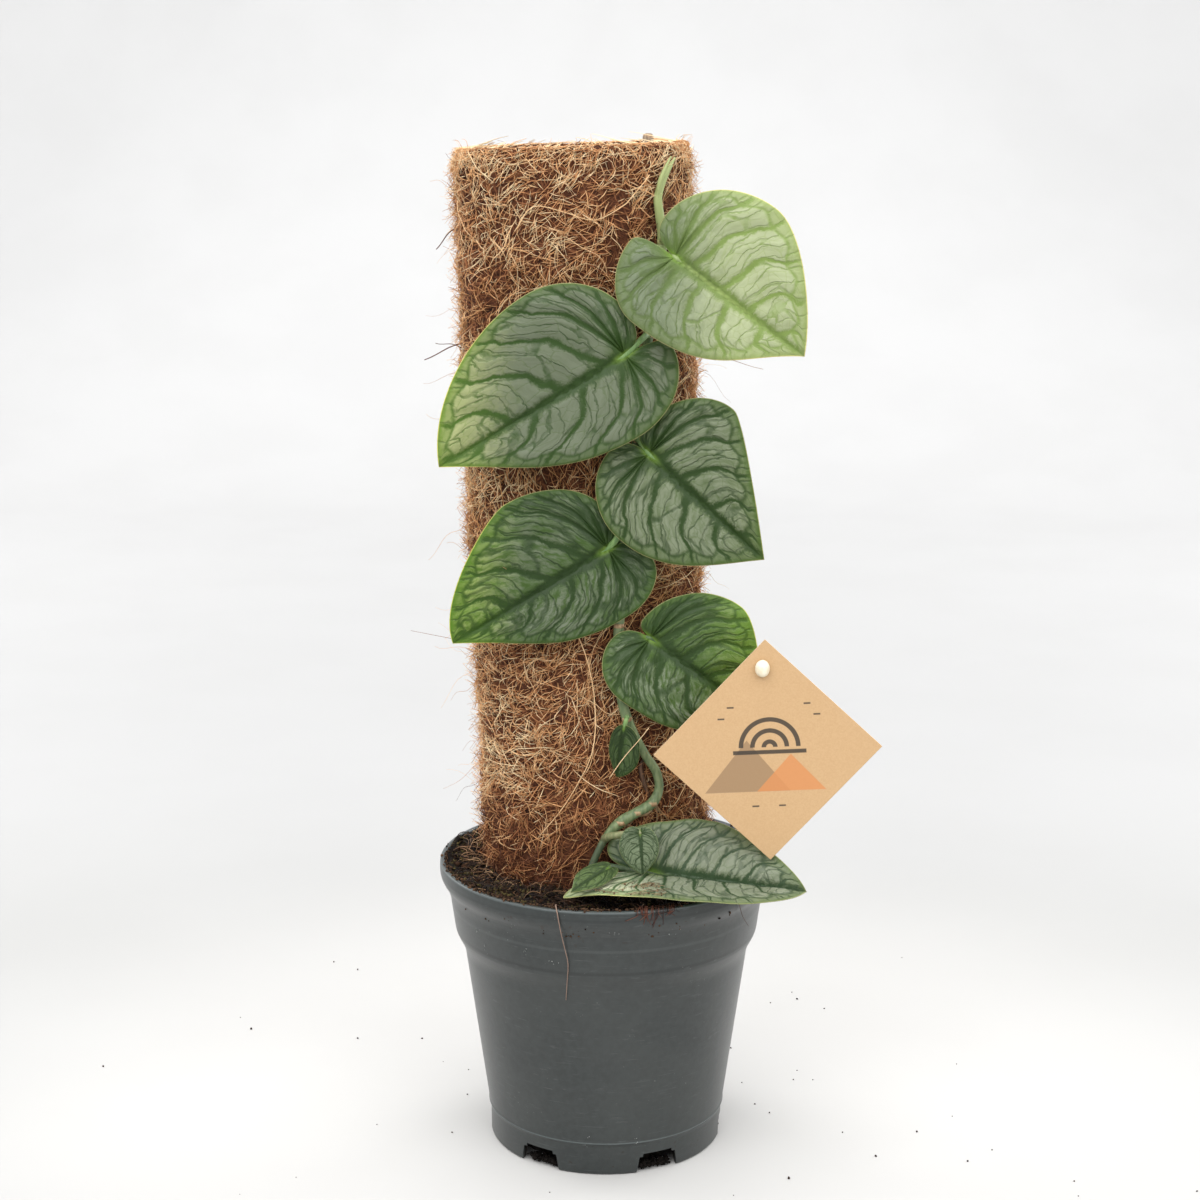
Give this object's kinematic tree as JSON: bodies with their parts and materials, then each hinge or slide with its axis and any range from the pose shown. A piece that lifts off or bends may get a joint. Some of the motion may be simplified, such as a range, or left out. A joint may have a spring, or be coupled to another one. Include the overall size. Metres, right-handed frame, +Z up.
{
  "type": "climbing plant in a pot",
  "caption": "Shingle-leaved climbing plant on an oval coir pole, in a tapered nursery pot with soil and a square card tag on a stick.",
  "frame": {"origin": "on the floor, under the centre of the whole plant's bounding box", "axes": "+Z up along the pole, +X to the viewer's right, -Y towards the viewer, out of the leaves' upper sides"},
  "size_m": [0.1618, 0.1202, 0.3605],
  "materials": {
    "pot_plastic": "satin moulded plastic",
    "potting_soil": "rough peat mix",
    "coir_fibre": "coarse loose fibre",
    "pole_core_fibre": "dark packed fibre",
    "cane_wood": "dry bamboo",
    "stem_green": "waxy plant stem",
    "leaf_green": "satin leaf with a silver pattern",
    "card_paper": "smooth uncoated card",
    "stick_plastic": "smooth cream plastic"
  },
  "bodies": {
    "root": {"pot": "pot_plastic", "soil": "potting_soil", "coir_sleeve": "coir_fibre", "pole_core": "pole_core_fibre", "pole_cane": "cane_wood", "stem": "stem_green", "leaf_1": "leaf_green", "leaf_2": "leaf_green", "leaf_3": "leaf_green", "leaf_4": "leaf_green", "leaf_5": "leaf_green", "leaf_6": "leaf_green", "small_leaf_1": "leaf_green", "small_leaf_2": "leaf_green", "small_leaf_3": "leaf_green", "tag_card": "card_paper", "tag_stick": "stick_plastic"}
  },
  "joints": []
}
